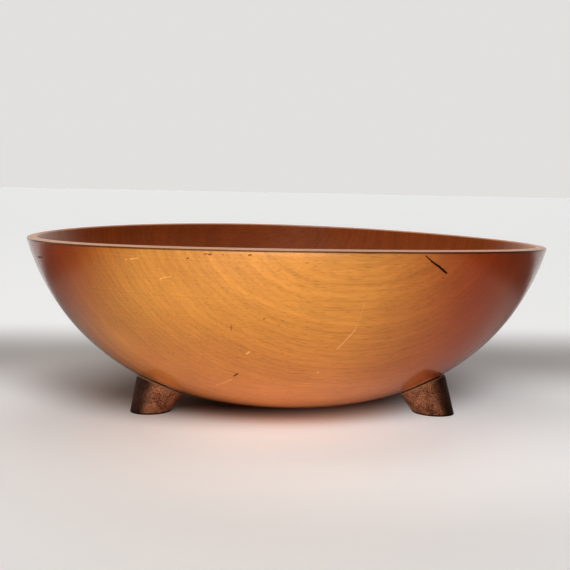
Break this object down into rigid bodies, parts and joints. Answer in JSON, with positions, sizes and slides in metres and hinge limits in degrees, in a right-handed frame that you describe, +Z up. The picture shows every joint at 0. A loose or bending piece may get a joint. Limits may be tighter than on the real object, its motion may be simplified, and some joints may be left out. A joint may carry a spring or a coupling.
{
  "type": "footed bowl",
  "caption": "Round turned wooden bowl with a gently oval, slightly warped rim, standing on splayed tapered wooden feet that are pinned and glued to its underside.",
  "frame": {"origin": "on the table under the middle of the bowl", "axes": "+X left to right across the front, +Y from the front to the back foot, +Z up out of the bowl"},
  "size_m": [0.3284, 0.3238, 0.1068],
  "materials": {
    "bowl_maple": "amber lacquered maple, semi-gloss, with fine flecks and age marks",
    "foot_dark_wood": "dark brown stained open-pored wood with copper flecks, semi-gloss",
    "dowel_birch": "plain unfinished birch"
  },
  "bodies": {
    "root": {"bowl": "bowl_maple", "foot_left": "foot_dark_wood", "foot_right": "foot_dark_wood", "foot_back": "foot_dark_wood", "dowel_left": "dowel_birch", "dowel_right": "dowel_birch", "dowel_back": "dowel_birch"}
  },
  "joints": []
}
